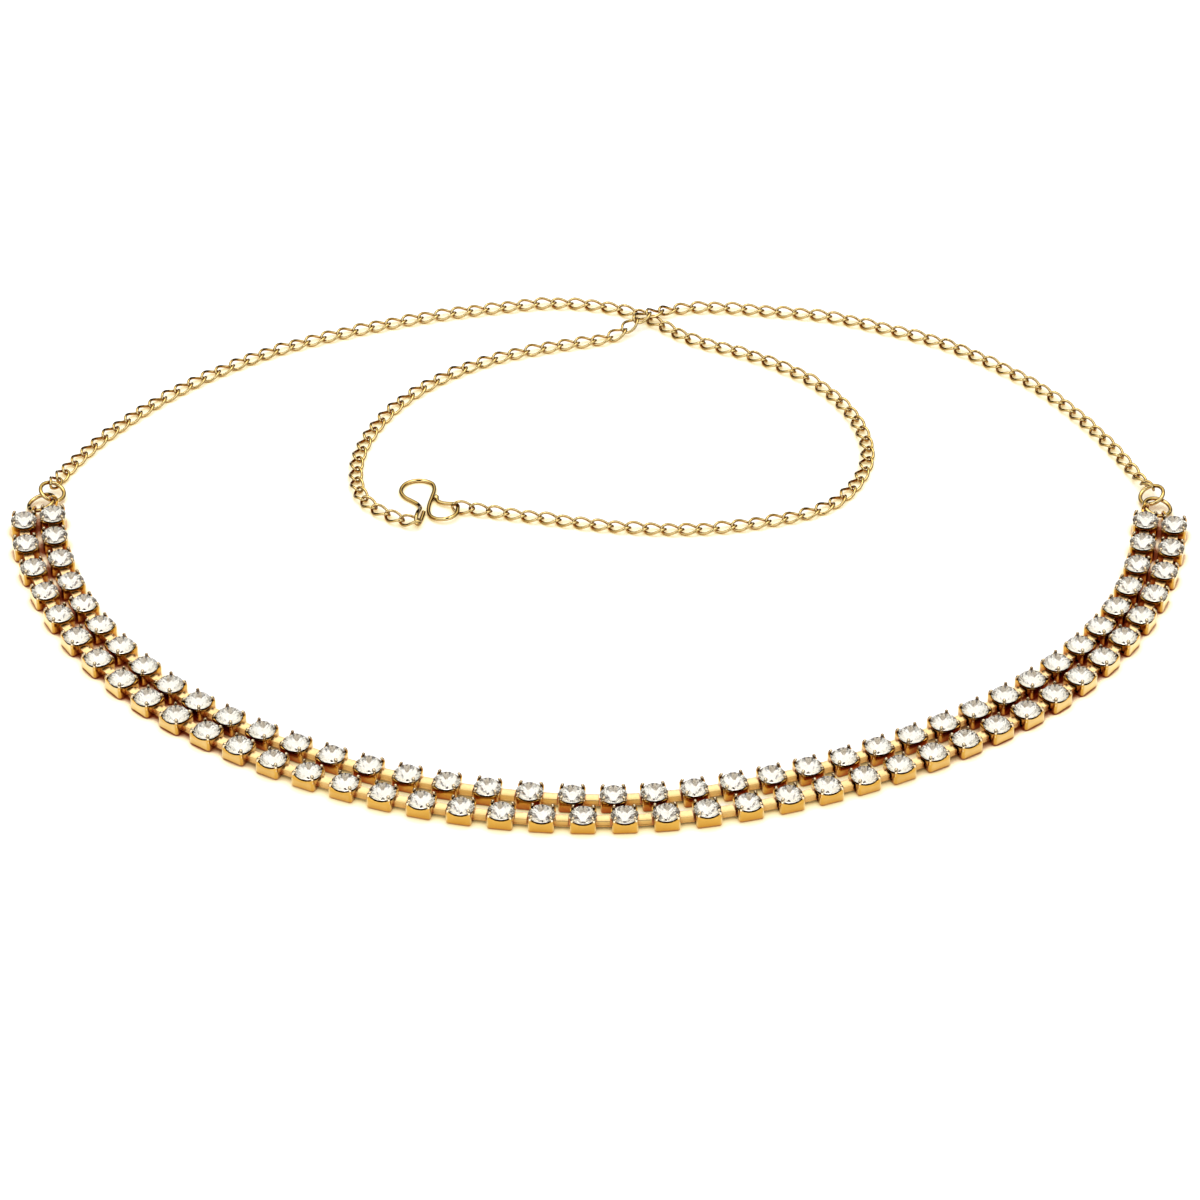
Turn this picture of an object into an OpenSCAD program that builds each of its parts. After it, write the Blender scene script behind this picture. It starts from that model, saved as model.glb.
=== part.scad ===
// Belly chain, lying on a flat surface: two rows of square cups with round stones,
// gathered at each end by jump rings, and two lengths of curb chain joined by a bent wire hook.
// X runs along the rows from left to right, Y runs away from the wearer's front, Z is up.

/* [Rows of cups] */
// Number of cups in the outer row
outer_count = 42; // [38:1:44]
// Number of cups in the inner row
inner_count = 41; // [37:1:43]
// Width of a square cup
cup_w = 4.9; // [4.7:0.1:5.1]
// Thickness of a cup's walls and floor
cup_wall = 0.4; // [0.3:0.05:0.45]
// Height of a cup's wall at the middle of a side
wall_z = 2.18; // [2.0:0.02:2.2]
// Chamfer on the outer edges of a cup
cup_chamfer = 0.45; // [0.2:0.05:0.6]
// Radius of a claw's bead
claw_bead_r = 0.4; // [0.36:0.02:0.42]

/* [Stones] */
// Diameter of a stone at its girdle
stone_d = 5.0; // [4.8:0.1:5.0]
// Diameter of the flat table on top
table_d = 2.7; // [2.4:0.1:3.0]
// Height of the crown above the girdle
crown_h = 1.08; // [0.8:0.02:1.2]
// Height of the pavilion below the girdle
pavilion_h = 1.75; // [1.6:0.05:1.75]

/* [Connectors] */
// Width of the flat strip from cup to cup
strip_w = 2.1; // [1.9:0.05:2.1]
// Thickness of the strip
strip_t = 0.35; // [0.25:0.05:0.35]
// Width of the ridge that thickens the strip between two cups
ridge_w = 2.0; // [1.6:0.1:2.1]
// Distance from a cup's centre to the middle of its strip's cross head
head_reach = 6.45; // [6.4:0.05:6.45]
// Width of the cross head that is caught in the next cup
head_w = 3.3; // [3.1:0.1:3.4]

/* [Rings and hook] */
// Thickness of the wire of the jump rings and the hook
ring_wire = 0.8; // [0.7:0.05:0.8]
// Centre line radius of the joining rings
joining_ring_r = 2.65; // [2.6:0.05:2.7]
// Centre line radius of the chain rings
chain_ring_r = 2.4; // [2.35:0.05:2.4]
// Centre line radius of the loops on the end cups
end_loop_r = 0.88; // [0.86:0.01:0.9]
// Thickness of the wire of the loops on the end cups
end_loop_wire = 0.45; // [0.4:0.01:0.46]
// Radius of the bead on the hook's open tip
hook_bead_r = 0.6; // [0.45:0.05:0.6]

/* [Chains] */
// Width of the curb chain
chain_w = 2.9; // [2.6:0.1:3.0]
// Thickness of the curb chain
chain_t = 1.2; // [1.0:0.1:1.2]

/* [Hidden] */

// Routes in plan. The first and last points of each row's route only steer its ends.
outer_route = [[-107, 34], [-113, 7.5], [-105, -21], [-88.5, -46], [-66.5, -64.5], [-41, -77.5],
    [-13.5, -84], [15, -83.5], [43, -75.5], [67.5, -62.5], [89, -45], [105, -21.5], [112.5, 6],
    [110, 33.5]];
inner_route = [[-102.8, 34], [-107.5, 9.5], [-99.5, -19.5], [-81.5, -45], [-57, -63],
    [-28.5, -74.5], [2.5, -78.5], [32, -72.5], [58.5, -60.5], [82, -43.5], [99.5, -20.5],
    [107, 7.5], [105.5, 37]];

// Routes of the chains and the hook's wire as [x, y, height of the centre line]
left_route = [[-107.9, 21.4, 1.7], [-105.6, 27.5, 0.65], [-98.5, 39, 0.65], [-89, 50.5, 0.65],
    [-78, 60.5, 0.65], [-65, 69, 0.65], [-51.5, 75, 0.65], [-37, 80, 0.65], [-22.5, 83.5, 0.65],
    [-7.5, 85.5, 0.65], [7, 82, 0.65], [18.5, 72.5, 0.65], [32, 66, 0.65], [44, 56.5, 0.65],
    [51.5, 43.5, 0.65], [53, 29, 0.65], [46, 15.5, 0.65], [32.5, 9.5, 0.65], [17.5, 7, 0.65],
    [2.5, 8, 0.65], [-12.5, 11, 0.65], [-27.2, 14, 1.1]];
right_route = [[108.3, 20.4, 1.7], [106.3, 25.5, 0.65], [102, 35, 0.65], [96, 45.5, 0.65],
    [88.5, 55.5, 0.65], [80, 63.5, 0.65], [70, 71, 0.65], [59, 76, 0.65], [47.5, 80.5, 0.65],
    [35.5, 82.5, 0.65], [23, 84, 0.65], [14.5, 83, 0.8], [8.5, 78.5, 2.4], [2.5, 73.2, 0.8],
    [-9, 70, 0.65], [-20.5, 66, 0.65], [-31, 59.5, 0.65], [-39.5, 51, 0.65], [-45.5, 40.5, 0.65],
    [-48.5, 28.5, 0.65], [-46.5, 16.5, 0.65], [-37.3, 8.4, 1.1]];
hook_route = [[-34.72, 13.35, 0.4], [-35.2, 10.8, 0.4], [-35.7, 9.4, 0.45], [-36.1, 8.7, 1.2],
    [-36.1, 9.5, 2.0], [-35.9, 10.9, 2.0], [-35.6, 12.5, 1.5], [-35.4, 14.2, 0.8],
    [-35.9, 15.8, 0.4], [-37.1, 17, 0.4], [-38.5, 18.2, 0.4], [-39.3, 19.7, 0.4],
    [-39.3, 21.2, 0.4], [-38.6, 22.7, 0.4], [-37.3, 23.6, 0.4], [-35.9, 23.9, 0.4],
    [-34.3, 23.6, 0.4], [-33.1, 22.6, 0.4], [-32.8, 20.7, 0.4], [-33.2, 18.4, 0.4],
    [-33.7, 15.8, 0.4], [-33.8, 13.7, 0.4], [-33.3, 11.8, 0.5], [-32.1, 10.6, 0.75],
    [-30.6, 10.2, 1], [-29.3, 10.5, 1.15], [-28.25, 11.7, 1.2], [-28, 13.3, 1.2],
    [-28.1, 14.6, 1.1], [-29, 15.3, 0.95], [-30, 15.6, 0.8], [-31, 15.9, 0.7],
    [-31.9, 16.5, 0.65], [-32.2, 17.3, 0.65]];

// The whole layout is moved so that its bounding box is centred on the origin
layout_shift = [0.2, 0.15, 0];

// Cup: the girdle's underside stands clear of the wall, and the sides are scooped below it
cup_half = cup_w / 2;
cavity_half = cup_half - cup_wall;
corner_z = 3;
scoop_r = 3.6;
round_fn = 48;

// Claws: an upright post in each corner and a bead that leans over the stone's crown
post_r = 0.33;
post_in = 0.37;
post_bottom_z = 1.6;
post_top_z = 3.35;
bead_reach = 2.62;
bead_z = 3.47;
claw_fn = 16;

// Stone: girdle, crown and pavilion heights, and the ring of points between table and girdle
girdle_z = 2.65;
girdle_t = 0.17;
girdle_sides = 16;
table_sides = 8;
kite_r = 1.95;
kite_share = 0.62;

// Connector strip with its ridge, its cross head and the slot that it enters
strip_z = 0.7;
ridge_top_z = 2.05;
ridge_gap = 0.22;
head_t = 0.25;
head_z = 0.65;
head_h = 0.4;
slot_w = 2.8;
slot_z = 0.6;
slot_h = 0.55;
root_x = cup_half - cup_wall / 2;

// End loops: reach from the cup's centre, and a row for each end cup with
// [turn of the tab, height of the loop's centre, turn of the loop on its tab]
end_reach = 5.2;
tab_z = 1.1;
tab_w = 0.5;
left_outer_end = [-20, 1.3, -4];
left_inner_end = [-2.5, 2.4, 62];
right_outer_end = [22.7, 1.16, 3];
right_inner_end = [2.5, 1.98, -44];

// Jump rings as [centre, turns about X and Y]
left_joining = [[-110.1, 14.84, 1.61], [-2.7, -17.5]];
right_joining = [[109.78, 13.41, 1.53], [2.8, 11.5]];
left_linking = [[-108.18, 18.27, 1.81], [8.9, 18.6]];
right_linking = [[108.89, 17.07, 1.85], [9, -21.7]];
ring_fn = 96;
wire_fn = 32;

// Swept tubes: sides of a section, and sections in each span of the route
tube_sides = 8;
chain_span_rings = 2;
low_chain_z = chain_t / 2 + 0.05;
hook_span_rings = 2;
bead_steps = 5;

// Point of a smooth curve through the points of p at u, where whole numbers are the points
function blend(a, b, c, d, t) =
    0.5 * (2 * b + (c - a) * t + (2 * a - 5 * b + 4 * c - d) * t * t + (3 * b - a - 3 * c + d) * t * t * t);

function along(p, u) =
    let (i = min(floor(u), len(p) - 3))
    blend(p[i - 1], p[i], p[i + 1], p[i + 2], u - i);

function unit(v) = v / norm(v);

// Both ends of a route continued by one mirrored point
function with_ends(p) =
    let (n = len(p))
    concat([2 * p[0] - p[1]], p, [2 * p[n - 1] - p[n - 2]]);

// Places of a row's cups, and the direction of the route at each
function row_u(route, count, k) = 1 + k * (len(route) - 3) / (count - 1);
function row_places(route, count) = [for (k = [0:count - 1]) along(route, row_u(route, count, k))];
function heading(from, to) = atan2(to[1] - from[1], to[0] - from[0]);
function row_headings(route, count) =
    let (step = 0.02)
    [for (k = [0:count - 1])
        let (u = row_u(route, count, k))
        heading(along(route, max(1, u - step)), along(route, min(len(route) - 2, u + step)))];

// Evenly spread sections of a route, per_span in each span between its points, none under low_z
function route_sections(p, per_span, low_z) =
    let (q = with_ends(p), spans = len(p) - 1)
    [for (i = [0:spans * per_span])
        let (s = along(q, 1 + i / per_span))
        [s[0], s[1], max(s[2], low_z)]];

// Directions of travel at each section, and a side vector carried along without twisting
function tangents(p) =
    let (n = len(p))
    [for (i = [0:n - 1]) unit(p[min(i + 1, n - 1)] - p[max(i - 1, 0)])];
function square_to(v, t) = unit(v - (v * t) * t);
function sides_along(t, first) =
    [for (i = 0, v = square_to(first, t[0]); i < len(t);
        i = i + 1, v = i < len(t) ? square_to(v, t[i]) : v) v];

// Solid swept through sections p, with an oval of half widths a[i] across and b[i] upward
module swept(p, a, b) {
    t = tangents(p);
    level = cross(t[0], [0, 0, 1]);
    side = sides_along(t, norm(level) > 0.01 ? level : [1, 0, 0]);
    n = tube_sides;
    last = len(p) - 1;
    points = [for (i = [0:last], k = [0:n - 1])
        let (up = cross(side[i], t[i]), angle = 360 * (k + 0.5) / n)
        p[i] + a[i] * cos(angle) * side[i] + b[i] * sin(angle) * up];
    walls = [for (i = [0:last - 1], k = [0:n - 1])
        let (next = (k + 1) % n)
        [i * n + k, i * n + next, (i + 1) * n + next, (i + 1) * n + k]];
    start_cap = [[for (k = [n - 1:-1:0]) k]];
    end_cap = [[for (k = [0:n - 1]) last * n + k]];
    polyhedron(points, concat(start_cap, walls, end_cap), convexity = 10);
}

// Chamfered square, as the outline of a cup seen from above
function chamfered(h, c) =
    [[h, c - h], [h, h - c], [h - c, h], [c - h, h], [-h, h - c], [-h, c - h], [c - h, -h], [h - c, -h]];

// Side view of a cup with its lower edges chamfered
module side_outline() {
    polygon([[cup_chamfer - cup_half, 0], [cup_half - cup_chamfer, 0], [cup_half, cup_chamfer],
        [cup_half, corner_z + 1], [-cup_half, corner_z + 1], [-cup_half, cup_chamfer]]);
}

module cup_block() {
    intersection() {
        linear_extrude(corner_z) polygon(chamfered(cup_half, cup_chamfer));
        translate([0, cup_w, 0]) rotate([90, 0, 0]) linear_extrude(2 * cup_w) side_outline();
        rotate([90, 0, 90]) translate([0, 0, -cup_w]) linear_extrude(2 * cup_w) side_outline();
    }
}

// Round scoop across the cup, lowest in the middle of two sides
module scoop() {
    translate([0, 0, wall_z + scoop_r]) rotate([0, 90, 0])
        cylinder(h = 2 * cup_w, r = scoop_r, center = true, $fn = 2 * round_fn);
}

module claw() {
    reach = cup_half - post_in;
    translate([reach, reach, post_bottom_z])
        cylinder(h = post_top_z - post_bottom_z, r = post_r, $fn = claw_fn);
    rotate(45) translate([bead_reach, 0, bead_z]) sphere(r = claw_bead_r, $fn = claw_fn);
}

// Flat strip to the next cup, turned toward it, with the cross head on its end. Its ridge stops
// short of the next cup's wall.
module connector(turn, pitch) {
    rotate(turn) {
        translate([root_x, -strip_w / 2, strip_z]) cube([head_reach - root_x, strip_w, strip_t]);
        translate([root_x, -ridge_w / 2, strip_z + strip_t / 2])
            cube([pitch - cup_half - ridge_gap - root_x, ridge_w, ridge_top_z - strip_z - strip_t / 2]);
        translate([head_reach - head_t / 2, -head_w / 2, head_z]) cube([head_t, head_w, head_h]);
    }
}

// Rising tab and upright loop on an end cup, toward +X. The tab ends in the loop's near side.
module end_loop(end) {
    loop_turn = end[2];
    run = end_reach - end_loop_r * cos(loop_turn) - root_x;
    aside = -end_loop_r * sin(loop_turn);
    rise = end[1] - tab_z;
    rotate(end[0]) {
        translate([root_x, 0, tab_z]) rotate([0, -atan2(rise, norm([run, aside])), atan2(aside, run)])
            translate([0, -tab_w / 2, -strip_t / 2]) cube([norm([run, aside, rise]), tab_w, strip_t]);
        translate([end_reach, 0, end[1]]) rotate([90, 0, loop_turn])
            rotate_extrude($fn = ring_fn / 2) translate([end_loop_r, 0])
                circle(r = end_loop_wire / 2, $fn = wire_fn / 2);
    }
}

// One cup: slotted at the back for the strip of the cup before it
module cup(slotted) {
    difference() {
        cup_block();
        translate([-cavity_half, -cavity_half, cup_wall]) cube([2 * cavity_half, 2 * cavity_half, corner_z]);
        scoop();
        rotate(90) scoop();
        if (slotted) translate([-cup_w, -slot_w / 2, slot_z]) cube([cup_w, slot_w, slot_h]);
    }
    for (quarter = [0:3]) rotate(90 * quarter) claw();
}

// A whole row. The first and last cups carry the end loops.
module cup_row(route, count, first_end, last_end) {
    places = row_places(route, count);
    headings = row_headings(route, count);
    for (k = [0:count - 1]) translate([places[k][0], places[k][1], 0]) rotate(headings[k]) {
        cup(k > 0);
        if (k < count - 1)
            connector(heading(places[k], places[k + 1]) - headings[k], norm(places[k + 1] - places[k]));
        if (k == 0) rotate(180) end_loop(first_end);
        if (k == count - 1) end_loop(last_end);
    }
}

// Points of one stone: table, kite points, upper girdle, lower girdle and culet
function polar(r, angle, z) = [r * cos(angle), r * sin(angle), z];
stone_points = concat(
    [for (k = [0:table_sides - 1])
        polar(table_d / 2, 360 * (k + 0.5) / table_sides, girdle_z + girdle_t + crown_h)],
    [for (k = [0:table_sides - 1])
        polar(kite_r, 360 * k / table_sides, girdle_z + girdle_t + crown_h * kite_share)],
    [for (k = [0:girdle_sides - 1]) polar(stone_d / 2, 360 * k / girdle_sides, girdle_z + girdle_t)],
    [for (k = [0:girdle_sides - 1]) polar(stone_d / 2, 360 * k / girdle_sides, girdle_z)],
    [[0, 0, girdle_z - pavilion_h]]);
kite_at = table_sides;
upper_at = kite_at + table_sides;
lower_at = upper_at + girdle_sides;
culet_at = lower_at + girdle_sides;

// Facets, with corners in clockwise order seen from outside
stone_faces = concat(
    [[for (k = [table_sides - 1:-1:0]) k]],
    [for (k = [0:table_sides - 1])
        let (before = (k + table_sides - 1) % table_sides)
        [before, k, kite_at + k]],
    [for (k = [0:table_sides - 1])
        let (after = (k + 1) % table_sides, middle = upper_at + 2 * k + 1)
        [k, kite_at + after, middle]],
    [for (k = [0:table_sides - 1])
        let (middle = upper_at + 2 * k + 1)
        [k, middle, kite_at + k]],
    [for (k = [0:table_sides - 1])
        [kite_at + k, upper_at + 2 * k + 1, upper_at + 2 * k]],
    [for (k = [0:table_sides - 1])
        let (after = (k + 1) % table_sides)
        [kite_at + after, upper_at + 2 * after, upper_at + 2 * k + 1]],
    [for (k = [0:girdle_sides - 1])
        let (after = (k + 1) % girdle_sides)
        [upper_at + k, upper_at + after, lower_at + after, lower_at + k]],
    [for (k = [0:girdle_sides - 1])
        let (after = (k + 1) % girdle_sides)
        [lower_at + k, lower_at + after, culet_at]]);

function turned(p, angle) =
    [p[0] * cos(angle) - p[1] * sin(angle), p[0] * sin(angle) + p[1] * cos(angle), p[2]];

// All stones of a row as one polyhedron of separate shells
module stone_row(route, count) {
    places = row_places(route, count);
    headings = row_headings(route, count);
    n = len(stone_points);
    points = [for (k = [0:count - 1], p = stone_points)
        turned(p, headings[k]) + [places[k][0], places[k][1], 0]];
    faces = [for (k = [0:count - 1], f = stone_faces) [for (i = f) k * n + i]];
    polyhedron(points, faces, convexity = 10);
}

module jump_ring(placed, r) {
    translate(placed[0]) rotate([placed[1][0], placed[1][1], 0])
        rotate_extrude($fn = ring_fn) translate([r, 0]) circle(r = ring_wire / 2, $fn = wire_fn);
}

// Outer form of a curb chain along its route
module chain(route) {
    p = route_sections(route, chain_span_rings, low_chain_z);
    swept(p, [for (s = p) chain_w / 2], [for (s = p) chain_t / 2]);
}

module outer_cups() {
    color("gold") translate(layout_shift) cup_row(outer_route, outer_count, left_outer_end, right_outer_end);
}

module inner_cups() {
    color("gold") translate(layout_shift) cup_row(inner_route, inner_count, left_inner_end, right_inner_end);
}

module outer_stones() {
    color("whitesmoke") translate(layout_shift) stone_row(outer_route, outer_count);
}

module inner_stones() {
    color("whitesmoke") translate(layout_shift) stone_row(inner_route, inner_count);
}

module left_joining_ring() {
    color("goldenrod") translate(layout_shift) jump_ring(left_joining, joining_ring_r);
}

module right_joining_ring() {
    color("goldenrod") translate(layout_shift) jump_ring(right_joining, joining_ring_r);
}

module left_chain_ring() {
    color("goldenrod") translate(layout_shift) jump_ring(left_linking, chain_ring_r);
}

module right_chain_ring() {
    color("goldenrod") translate(layout_shift) jump_ring(right_linking, chain_ring_r);
}

module left_chain() {
    color("gold") translate(layout_shift) chain(left_route);
}

module right_chain() {
    color("gold") translate(layout_shift) chain(right_route);
}

// Bent wire with a bead on its open tip
module s_hook() {
    r = ring_wire / 2;
    wire = route_sections(hook_route, hook_span_rings, r);
    last = len(wire) - 1;
    forward = unit(wire[last] - wire[last - 1]);
    angles = [for (i = [0:bead_steps]) -45 + i * 120 / bead_steps];
    bead_centre = wire[last] + forward * hook_bead_r;
    bead = [for (angle = angles) bead_centre + forward * hook_bead_r * sin(angle)];
    bead_radii = [for (angle = angles) hook_bead_r * cos(angle)];
    radii = concat([for (i = [0:last - 1]) r], bead_radii);
    color("goldenrod") translate(layout_shift)
        swept(concat([for (i = [0:last - 1]) wire[i]], bead), radii, radii);
}

outer_cups();
inner_cups();
outer_stones();
inner_stones();
left_joining_ring();
right_joining_ring();
left_chain_ring();
right_chain_ring();
left_chain();
right_chain();
s_hook();
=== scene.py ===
"""Belly chain: two rows of square cups with round stones, jump rings, curb chain and a wire hook.

The shapes are given in millimetres, as in the part's source, and become metres when a mesh is made.
The places of the camera, lights and cards, the floor and the reach of the materials are in metres.
Turns are in degrees.
"""

import math

import bpy
import numpy as np
from mathutils import Euler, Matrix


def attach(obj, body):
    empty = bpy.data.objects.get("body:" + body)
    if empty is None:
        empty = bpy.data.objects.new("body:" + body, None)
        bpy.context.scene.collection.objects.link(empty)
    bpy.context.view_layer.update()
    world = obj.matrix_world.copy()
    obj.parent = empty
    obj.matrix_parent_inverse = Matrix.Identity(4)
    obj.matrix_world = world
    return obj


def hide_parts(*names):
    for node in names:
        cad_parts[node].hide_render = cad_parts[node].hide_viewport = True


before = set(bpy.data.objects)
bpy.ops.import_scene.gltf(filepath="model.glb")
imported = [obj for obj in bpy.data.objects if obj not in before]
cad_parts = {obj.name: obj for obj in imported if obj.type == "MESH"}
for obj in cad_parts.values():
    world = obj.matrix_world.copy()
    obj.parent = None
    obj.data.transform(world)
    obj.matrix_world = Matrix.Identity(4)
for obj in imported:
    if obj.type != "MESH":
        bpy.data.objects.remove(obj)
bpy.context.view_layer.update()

MM = 0.001
# Shift that brings the middle of the whole layout to the origin
SHIFT = np.array([0.2, 0.15, 0.0])

# Rows, in plan. The first and last points of each route only steer its ends.
OUTER_COUNT = 42
INNER_COUNT = 41
OUTER_ROUTE = [(-107, 34), (-113, 7.5), (-105, -21), (-88.5, -46), (-66.5, -64.5), (-41, -77.5),
               (-13.5, -84), (15, -83.5), (43, -75.5), (67.5, -62.5), (89, -45), (105, -21.5),
               (112.5, 6), (110, 33.5)]
INNER_ROUTE = [(-102.8, 34), (-107.5, 9.5), (-99.5, -19.5), (-81.5, -45), (-57, -63),
               (-28.5, -74.5), (2.5, -78.5), (32, -72.5), (58.5, -60.5), (82, -43.5),
               (99.5, -20.5), (107, 7.5), (105.5, 37)]
# Part of the way from point to point over which a cup's heading is taken
HEADING_STEP = 0.02

# Chains, as points with the height of the centre line, and the points where their end links hang
CHAIN_STEPS = 40
LEFT_ROUTE = [(-107.9, 21.4, 1.7), (-105.6, 27.5, 0.79), (-98.5, 39, 0.79), (-89, 50.5, 0.79),
              (-78, 60.5, 0.79), (-65, 69, 0.79), (-51.5, 75, 0.79), (-37, 80, 0.79),
              (-22.5, 83.5, 0.79), (-7.5, 85.5, 0.79), (7, 82, 0.79), (18.5, 72.5, 0.79),
              (32, 66, 0.79), (44, 56.5, 0.79), (51.5, 43.5, 0.79), (53, 29, 0.79),
              (46, 15.5, 0.79), (32.5, 9.5, 0.79), (17.5, 7, 0.79), (2.5, 8, 0.79),
              (-12.5, 11, 0.79), (-27.2, 14, 1.1)]
RIGHT_ROUTE = [(108.3, 20.4, 1.7), (106.3, 25.5, 0.79), (102, 35, 0.79), (96, 45.5, 0.79),
               (88.5, 55.5, 0.79), (80, 63.5, 0.79), (70, 71, 0.79), (59, 76, 0.79),
               (47.5, 80.5, 0.79), (35.5, 82.5, 0.79), (23, 84, 0.79), (14.5, 83, 0.9),
               (8.5, 78.5, 2.4), (2.5, 73.2, 0.9), (-9, 70, 0.79), (-20.5, 66, 0.79),
               (-31, 59.5, 0.79), (-39.5, 51, 0.79), (-45.5, 40.5, 0.79), (-48.5, 28.5, 0.79),
               (-46.5, 16.5, 0.79), (-37.3, 8.4, 1.1)]
LEFT_START = (-108.32, 20.19, 2.27)
LEFT_END = (-28.33, 14.0, 1.16)
RIGHT_START = (108.88, 19.13, 2.32)
RIGHT_END = (-36.41, 9.01, 1.48)

# Hook, as points of its wire's middle line, with the bead at its far end
HOOK_STEPS = 8
HOOK_ROUTE = [(-34.72, 13.35, 0.4), (-35.2, 10.8, 0.4), (-35.7, 9.4, 0.45), (-36.1, 8.7, 1.2),
              (-36.1, 9.5, 2.0), (-35.9, 10.9, 2.0), (-35.6, 12.5, 1.5), (-35.4, 14.2, 0.8),
              (-35.9, 15.8, 0.4), (-37.1, 17, 0.4), (-38.5, 18.2, 0.4), (-39.3, 19.7, 0.4),
              (-39.3, 21.2, 0.4), (-38.6, 22.7, 0.4), (-37.3, 23.6, 0.4), (-35.9, 23.9, 0.4),
              (-34.3, 23.6, 0.4), (-33.1, 22.6, 0.4), (-32.8, 20.7, 0.4), (-33.2, 18.4, 0.4),
              (-33.7, 15.8, 0.4), (-33.8, 13.7, 0.4), (-33.3, 11.8, 0.5), (-32.1, 10.6, 0.75),
              (-30.6, 10.2, 1), (-29.3, 10.5, 1.15), (-28.25, 11.7, 1.2), (-28, 13.3, 1.2),
              (-28.1, 14.6, 1.1), (-29, 15.3, 0.95), (-30, 15.6, 0.8), (-31, 15.9, 0.7),
              (-31.9, 16.5, 0.65), (-32.2, 17.3, 0.65)]
HOOK_BEAD_R = 0.6
BEAD_FROM, BEAD_TO = -45, 89
BEAD_STEPS = 12

# Cup, with the slot in its back wall and a rim that is scooped on all four sides
CUP_HALF = 2.45
WALL = 0.4
WALL_Z = 2.18
WALL_MIDDLE_Z = 1.6
CORNER_Z = 3.0
SCOOP_R = 3.6
CORNER_R = 0.55
LEAST_CORNER_R = 0.03
FOOT_R = 0.45
INNER_FOOT = 0.1
BOTTOM_INSET = 1.6
RIM_R = 0.12
RIM_CUT = 0.035
SLOT_LOW, SLOT_HIGH = 0.6, 1.15
SIDE_STOPS = (-1.4, -0.7, 0.0, 0.7, 1.4)
CORNER_STEPS = 6
FOOT_STEPS = 4

# Claw, as (distance from the cup's axis, height, radius) along its middle line
CLAW_LINE = [(2.93, 1.5, 0.26), (2.95, 2.2, 0.3), (2.93, 2.7, 0.3), (2.87, 3.0, 0.3),
             (2.77, 3.2, 0.32), (2.65, 3.32, 0.34), (2.53, 3.37, 0.33), (2.43, 3.38, 0.27),
             (2.35, 3.37, 0.14)]
CLAW_SIDES = 12

# Connector strip with its ridge and cross head
ROOT_X = 2.25
STRIP_HALF = 1.05
STRIP_LOW, STRIP_HIGH = 0.7, 1.05
STRIP_EDGE = 0.05
RIDGE_HALF = 1.0
RIDGE_LOW, RIDGE_HIGH = 0.85, 2.05
RIDGE_GAP = 0.22
RIDGE_EDGE = 0.06
RIDGE_CAMBER = 0.05
CAMBER_STEPS = 3
HEAD_REACH = 6.45
HEAD_T = 0.25
HEAD_HALF = 1.65
HEAD_LOW, HEAD_HIGH = 0.65, 1.05
HEAD_EDGE = 0.04

# End loops on their tabs, each as (turn of the tab, height of the loop, turn of the loop)
END_REACH = 5.2
END_LOOP_R = 0.88
END_LOOP_WIRE_R = 0.225
END_LOOP_STEPS, END_LOOP_SIDES = 40, 12
TAB_HALF = 0.25
TAB_T = 0.35
TAB_Z = 1.1
TAB_EDGE = 0.08
LEFT_OUTER_END = (-20, 1.3, -4)
LEFT_INNER_END = (-2.5, 2.4, 62)
RIGHT_OUTER_END = (22.7, 1.16, 3)
RIGHT_INNER_END = (2.5, 1.98, -44)

# Stone with 8 main facets and 16 halves round it, above and below the girdle
MAINS, HALVES = 8, 16
MAIN_TURN, HALF_TURN = 45, 22.5
STONE_R = 2.56
TABLE_R = 1.35
STAR_R = 1.95
TABLE_Z = 3.9
STAR_Z = 3.49
GIRDLE_HIGH, GIRDLE_LOW = 2.82, 2.65
CULET_Z = 0.9
CULET_R = 0.2
LOWER_TIP_R = 0.95
EDGE_STEPS = 3
# Dark lacquer on the back of the foil, as (distance from the axis, height) of a closed thin cone
BACK_LINE = [(0.12, 0.9), (0.95, 1.49), (2.5, 2.625), (2.5, 2.6), (0.95, 1.46), (0.12, 0.87)]
BACK_SIDES = 24

# Jump rings as (centre, turns about X and Y, place of the joint in the wire)
RING_WIRE_R = 0.4
JOINING_R = 2.65
LINKING_R = 2.4
LEFT_JOINING = ((-110.1, 14.84, 1.61), (-2.7, -17.5), 205)
RIGHT_JOINING = ((109.78, 13.41, 1.53), (2.8, 11.5), 335)
LEFT_LINKING = ((-108.18, 18.27, 1.81), (8.9, 18.6), 160)
RIGHT_LINKING = ((108.89, 17.07, 1.85), (9, -21.7), 20)
RING_GAP = 1.4
RING_EDGE = 0.05
RING_STEPS, WIRE_SIDES = 96, 20

# Curb link: half length and half width of its middle line, wire radius, and turn of each end about the line
LINK_A = 2.16
LINK_B = 1.23
LINK_WIRE_R = 0.28
LINK_TWIST = -45
LINK_STEPS = 36
LINK_SIDES = 10

# Lie of the links: distance between joints, reach of an end link past its last joint, and lowest point
LINK_PITCH = 3.5
END_STEP = 3.13
LINK_LOW_Z = 0.02
# Roll toward the rows, and two waves of roll along a chain as (degrees, radians from link to link, start)
LINK_TILT = 8
LINK_WAVES = [(4, 2.4, 0), (2, 1.1, 1)]
# More roll for single links, as {number of the link: roll}. A negative number counts from the end.
LEFT_ROLLS = {0: 36.3, 1: 24.2, 2: 12.1, 40: -3.6, 42: -7.1, -3: -7.3, -2: -14.6, -1: -21.9}
RIGHT_ROLLS = {0: 27.4, 1: 18.3, 2: 9.1, 35: 5.7, 36: 8.1, -3: 1.6, -2: 3.2, -1: 4.8}

# Angles between faces from which an edge is sharp
CUP_CREASE = 35
STONE_CREASE = 1
WIRE_CREASE = 50
LINK_CREASE = 60

# Looks of a cup's and a stone's faces, as places in their piece's list of materials
CUP, CLAW, STRIP = 0, 1, 2
GLASS, FOIL, CULET, BACK = 0, 1, 2, 3

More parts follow.
